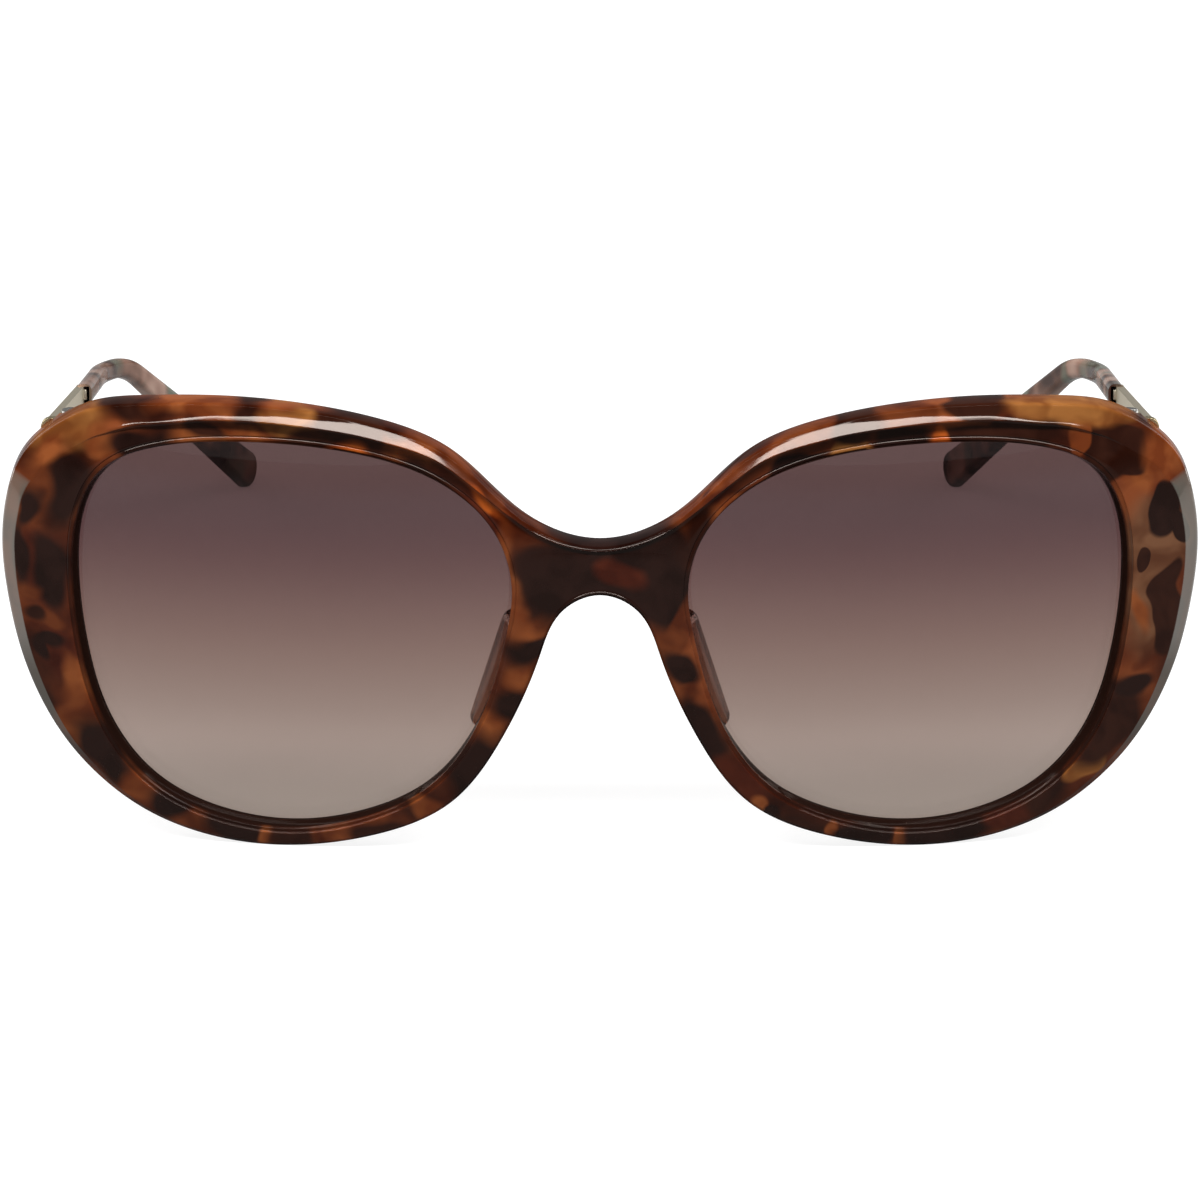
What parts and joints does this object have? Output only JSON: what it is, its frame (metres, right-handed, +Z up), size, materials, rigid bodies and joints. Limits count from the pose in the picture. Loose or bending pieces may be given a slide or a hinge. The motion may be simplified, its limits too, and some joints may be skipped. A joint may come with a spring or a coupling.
{
  "type": "sunglasses",
  "caption": "Oversized rounded sunglasses: thick tortoiseshell front with a brow ridge, gradient lenses, and slim metal temples with bent acetate tips that fold on screw hinges.",
  "frame": {"origin": "middle of the bounding box at its foot: on the floor that the lens rims and the temple tips stand on, midway between the two temples", "axes": "+X to the wearer's left, -Y the way the front looks, so the temples run back along +Y, +Z up. Metres in this record, millimetres in the source."},
  "size_m": [0.1452, 0.1503, 0.0559],
  "materials": {
    "front_acetate": "polished tortoiseshell acetate, dark brown blotches on caramel",
    "pad_acetate": "polished tortoiseshell acetate",
    "tip_acetate": "polished tortoiseshell acetate, a hazier taupe",
    "lens_tint": "transparent, brown tint fading downwards",
    "temple_metal": "satin champagne plating",
    "hinge_metal": "champagne plating",
    "screw_steel": "plain",
    "washer_nylon": "natural nylon"
  },
  "bodies": {
    "front": {"frame_front": "front_acetate", "lens_left": "lens_tint", "lens_right": "lens_tint", "nose_pad_left": "pad_acetate", "nose_pad_right": "pad_acetate", "hinge_plate_left": "hinge_metal", "hinge_plate_right": "hinge_metal", "plate_screws_left": "screw_steel", "plate_screws_right": "screw_steel", "hinge_screw_left": "screw_steel", "hinge_screw_right": "screw_steel", "hinge_washers_left": "washer_nylon", "hinge_washers_right": "washer_nylon"},
    "temple_left": {"temple_bar_left": "temple_metal", "temple_leaf_left": "hinge_metal", "temple_tip_left": "tip_acetate"},
    "temple_right": {"temple_bar_right": "temple_metal", "temple_leaf_right": "hinge_metal", "temple_tip_right": "tip_acetate"}
  },
  "joints": [
    {"name": "fold_left", "type": "hinge", "parent": "front", "child": "temple_left", "pos_m": [0.0643, -0.05844, 0.0478], "axis": [0, 0, 1], "range_deg": [0, 84]},
    {"name": "fold_right", "type": "hinge", "parent": "front", "child": "temple_right", "pos_m": [-0.0643, -0.05844, 0.0478], "axis": [0, 0, -1], "range_deg": [0, 79]}
  ]
}
